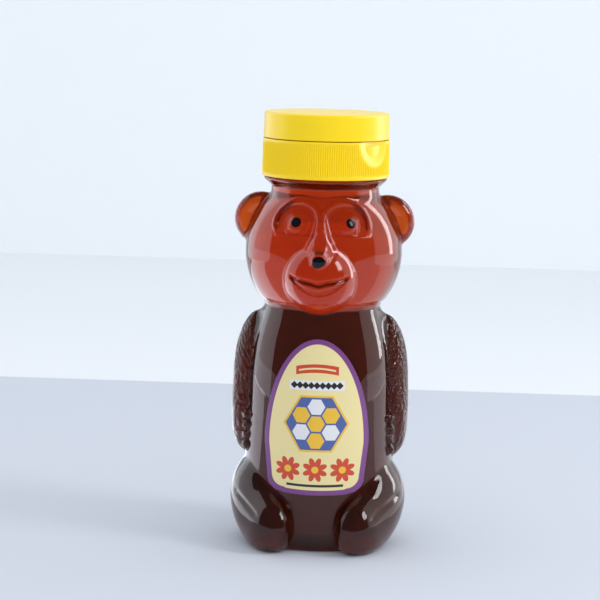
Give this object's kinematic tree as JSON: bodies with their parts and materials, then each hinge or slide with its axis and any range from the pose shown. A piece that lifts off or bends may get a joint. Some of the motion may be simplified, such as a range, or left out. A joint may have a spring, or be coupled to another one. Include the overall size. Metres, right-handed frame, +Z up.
{
  "type": "bear-shaped squeeze bottle",
  "caption": "Clear bottle moulded as a seated bear, full of honey, with a belly label and a yellow flip-top screw cap that unscrews and opens to pour.",
  "frame": {"origin": "middle of the base, where the axis of the neck meets the plane the bottle stands on", "axes": "+Z up along the axis of the neck and cap, -Y the way the bear faces, +X to the bear's left"},
  "size_m": [0.0644, 0.0607, 0.155],
  "materials": {
    "bottle": "clear, smooth and glossy, with a fine stipple on the limbs",
    "honey": "clear dark amber liquid",
    "label": "satin printed film in cream with a purple border",
    "ink": "glossy black printing ink",
    "liner": "white foam",
    "cap": "glossy yellow moulding, finely ribbed round the skirt"
  },
  "bodies": {
    "bottle": {"bottle": "bottle", "honey_fill": "honey", "front_label": "label", "right_eye_print": "ink", "left_eye_print": "ink", "nose_print": "ink"},
    "liner": {"cap_liner": "liner"},
    "cap": {"cap_base": "cap", "living_hinge": "cap"},
    "lid": {"flip_lid": "cap"}
  },
  "joints": [
    {"name": "cap_rise", "type": "slide", "parent": "bottle", "child": "liner", "axis": [0, 0, 1], "range_m": [0, 0.00424]},
    {"name": "cap_turn", "type": "hinge", "parent": "liner", "child": "cap", "pos_m": [0, 0, 0.1441], "axis": [0, 0, 1], "range_deg": [0, 360]},
    {"name": "lid_flip", "type": "hinge", "parent": "cap", "child": "lid", "pos_m": [-0.01717, 0.01294, 0.14575], "axis": [-0.6018, -0.7986, 0], "range_deg": [0, 140], "deforming": ["living_hinge"]}
  ],
  "couplings": [
    {"joint": "cap_rise", "follows": "cap_turn", "m_per_rad": 0.0006737}
  ]
}
